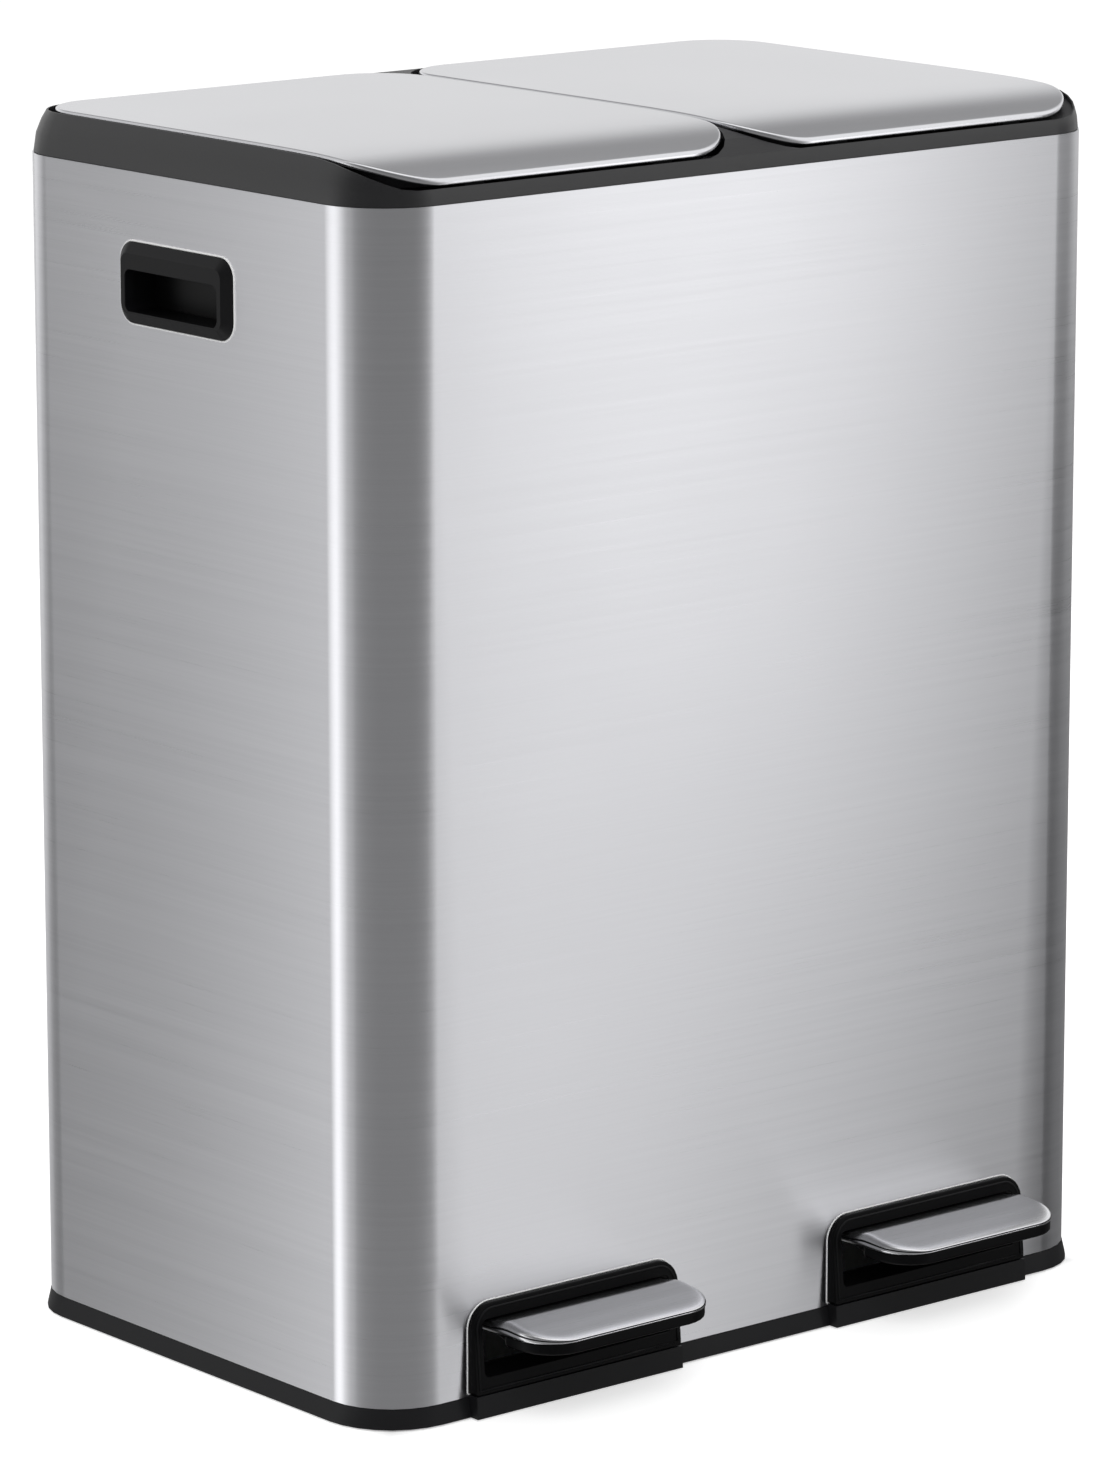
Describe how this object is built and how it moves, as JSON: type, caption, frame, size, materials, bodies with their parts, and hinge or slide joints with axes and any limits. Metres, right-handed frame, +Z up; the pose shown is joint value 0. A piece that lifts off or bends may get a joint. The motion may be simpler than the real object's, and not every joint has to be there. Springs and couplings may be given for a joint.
{
  "type": "double recycling bin",
  "caption": "Step bin with side-by-side compartments: brushed steel casing and lids, black rim and base, a pedal, lift rod and lift-out bucket for each side.",
  "frame": {"origin": "on the floor, under the middle of the whole footprint with the pedals", "axes": "+X to the right along the front, +Y to the back, +Z up; the pedals point to -Y"},
  "size_m": [0.4992, 0.3582, 0.6377],
  "materials": {
    "brushed_steel": "fine horizontal brushing, satin",
    "pin_steel": "plain drawn steel",
    "black_plastic": "satin, finely grained",
    "liner_plastic": "moulded, matt",
    "bucket_plastic": "smooth moulded, matt",
    "rubber": "matt"
  },
  "bodies": {
    "housing": {"steel_casing": "brushed_steel", "top_rim": "black_plastic", "base": "black_plastic", "left_pedal_pocket": "black_plastic", "right_pedal_pocket": "black_plastic", "left_side_handle": "black_plastic", "right_side_handle": "black_plastic", "left_hinge_pin_outer": "pin_steel", "left_hinge_pin_inner": "pin_steel", "right_hinge_pin_outer": "pin_steel", "right_hinge_pin_inner": "pin_steel", "left_pedal_pin": "pin_steel", "right_pedal_pin": "pin_steel", "left_bumper_outer": "rubber", "left_bumper_inner": "rubber", "right_bumper_outer": "rubber", "right_bumper_inner": "rubber", "left_front_foot": "rubber", "left_back_foot": "rubber", "right_front_foot": "rubber", "right_back_foot": "rubber"},
    "left_lid": {"left_lid_skin": "brushed_steel", "left_lid_liner": "liner_plastic", "left_crank_pin": "pin_steel"},
    "right_lid": {"right_lid_skin": "brushed_steel", "right_lid_liner": "liner_plastic", "right_crank_pin": "pin_steel"},
    "left_rod": {"left_lift_rod": "pin_steel"},
    "right_rod": {"right_lift_rod": "pin_steel"},
    "left_pedal": {"left_pedal_lever": "black_plastic", "left_pedal_cap": "brushed_steel", "left_link_pin": "pin_steel"},
    "right_pedal": {"right_pedal_lever": "black_plastic", "right_pedal_cap": "brushed_steel", "right_link_pin": "pin_steel"},
    "left_bin": {"left_bucket": "bucket_plastic"},
    "right_bin": {"right_bucket": "bucket_plastic"}
  },
  "joints": [
    {"name": "left_lid_hinge", "type": "hinge", "parent": "housing", "child": "left_lid", "pos_m": [-0.1187, 0.1589, 0.6332], "axis": [-1, 0, 0], "range_deg": [0, 75]},
    {"name": "right_lid_hinge", "type": "hinge", "parent": "housing", "child": "right_lid", "pos_m": [0.1187, 0.1589, 0.6332], "axis": [-1, 0, 0], "range_deg": [0, 75]},
    {"name": "left_rod_slide", "type": "slide", "parent": "housing", "child": "left_rod", "axis": [0, 0, 1], "range_m": [0, 0.0268]},
    {"name": "right_rod_slide", "type": "slide", "parent": "housing", "child": "right_rod", "axis": [0, 0, 1], "range_m": [0, 0.0268]},
    {"name": "left_pedal_hinge", "type": "hinge", "parent": "housing", "child": "left_pedal", "pos_m": [-0.1187, -0.0161, 0.03], "axis": [1, 0, 0], "range_deg": [0, 9.9]},
    {"name": "right_pedal_hinge", "type": "hinge", "parent": "housing", "child": "right_pedal", "pos_m": [0.1187, -0.0161, 0.03], "axis": [1, 0, 0], "range_deg": [0, 9.9]},
    {"name": "left_bucket_lift", "type": "slide", "parent": "housing", "child": "left_bin", "axis": [0, 0, 1], "range_m": [0, 0.018]},
    {"name": "right_bucket_lift", "type": "slide", "parent": "housing", "child": "right_bin", "axis": [0, 0, 1], "range_m": [0, 0.018]}
  ],
  "couplings": [
    {"joint": "left_pedal_hinge", "follows": "left_lid_hinge", "ratio": 0.13195},
    {"joint": "right_pedal_hinge", "follows": "right_lid_hinge", "ratio": 0.13195},
    {"joint": "left_rod_slide", "follows": "left_lid_hinge", "m_per_rad": 0.020463},
    {"joint": "right_rod_slide", "follows": "right_lid_hinge", "m_per_rad": 0.020463}
  ]
}
